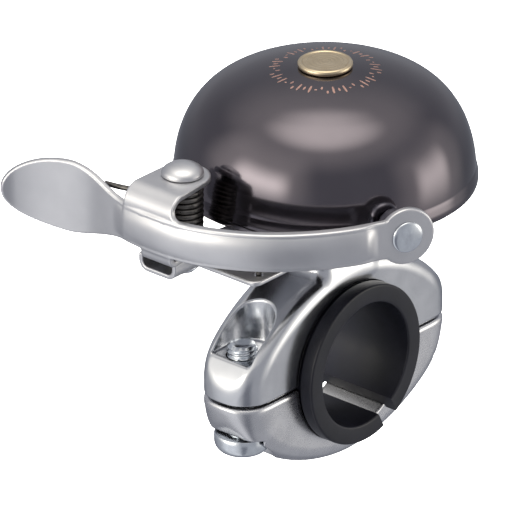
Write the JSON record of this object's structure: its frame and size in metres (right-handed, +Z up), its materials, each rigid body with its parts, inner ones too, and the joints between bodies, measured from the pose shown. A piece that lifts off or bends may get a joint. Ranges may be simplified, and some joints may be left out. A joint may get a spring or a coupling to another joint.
{
  "type": "bicycle bell",
  "caption": "Handlebar bell: a metal dome on a post over a split bar clamp, struck by a sprung thumb lever.",
  "frame": {"origin": "centre of the handlebar bore, straight below the dome's axis", "axes": "+Z up along the dome's axis, X along the handlebar, -Y towards the thumb lever"},
  "size_m": [0.0765, 0.0836, 0.0823],
  "materials": {
    "smoky_nickel": "polished smoky black nickel plating",
    "brass": "satin turned brass",
    "black_nylon": "moulded nylon",
    "bright_zinc": "bright zinc plating",
    "satin_aluminium": "satin stamped sheet",
    "dark_spring_steel": "dark oiled spring wire",
    "polished_cast": "polished die-cast alloy",
    "black_rubber": "moulded black rubber"
  },
  "bodies": {
    "root": {"bell_dome": "smoky_nickel", "dome_screw": "brass", "dome_isolator": "black_nylon", "centre_post": "bright_zinc", "lock_washer": "bright_zinc", "boss_screw": "bright_zinc", "base_bracket": "satin_aluminium", "pivot_pin": "satin_aluminium", "pivot_bush": "black_nylon", "pivot_collar": "black_nylon", "rivet_washer": "bright_zinc", "torsion_spring": "dark_spring_steel", "clamp_upper": "polished_cast", "bar_shim": "black_rubber"},
    "lever": {"striker_lever": "satin_aluminium", "striker": "bright_zinc"},
    "lower_half": {"clamp_lower": "polished_cast"},
    "front_screw": {"clamp_screw_front": "bright_zinc"},
    "rear_screw": {"clamp_screw_rear": "bright_zinc"}
  },
  "joints": [
    {"name": "lever_pivot", "type": "hinge", "parent": "root", "child": "lever", "pos_m": [-0.0054, -0.0353, 0.0403], "axis": [0, 0, 1], "range_deg": [-28, 1], "stiffness_Nm_per_rad": 0.3, "deforming": ["torsion_spring"]},
    {"name": "clamp_opening", "type": "slide", "parent": "root", "child": "lower_half", "axis": [0, 0, -1], "range_m": [0, 0.004]},
    {"name": "front_screw_turn", "type": "hinge", "parent": "lower_half", "child": "front_screw", "pos_m": [0, -0.0242, -0.0107], "axis": [0, 0, 1], "range_deg": [0, 1440]},
    {"name": "rear_screw_turn", "type": "hinge", "parent": "lower_half", "child": "rear_screw", "pos_m": [0, 0.0242, -0.0107], "axis": [0, 0, 1], "range_deg": [0, 1440]}
  ],
  "couplings": [
    {"joint": "front_screw_turn", "follows": "clamp_opening", "rad_per_m": 6283.2},
    {"joint": "rear_screw_turn", "follows": "clamp_opening", "rad_per_m": 6283.2}
  ]
}
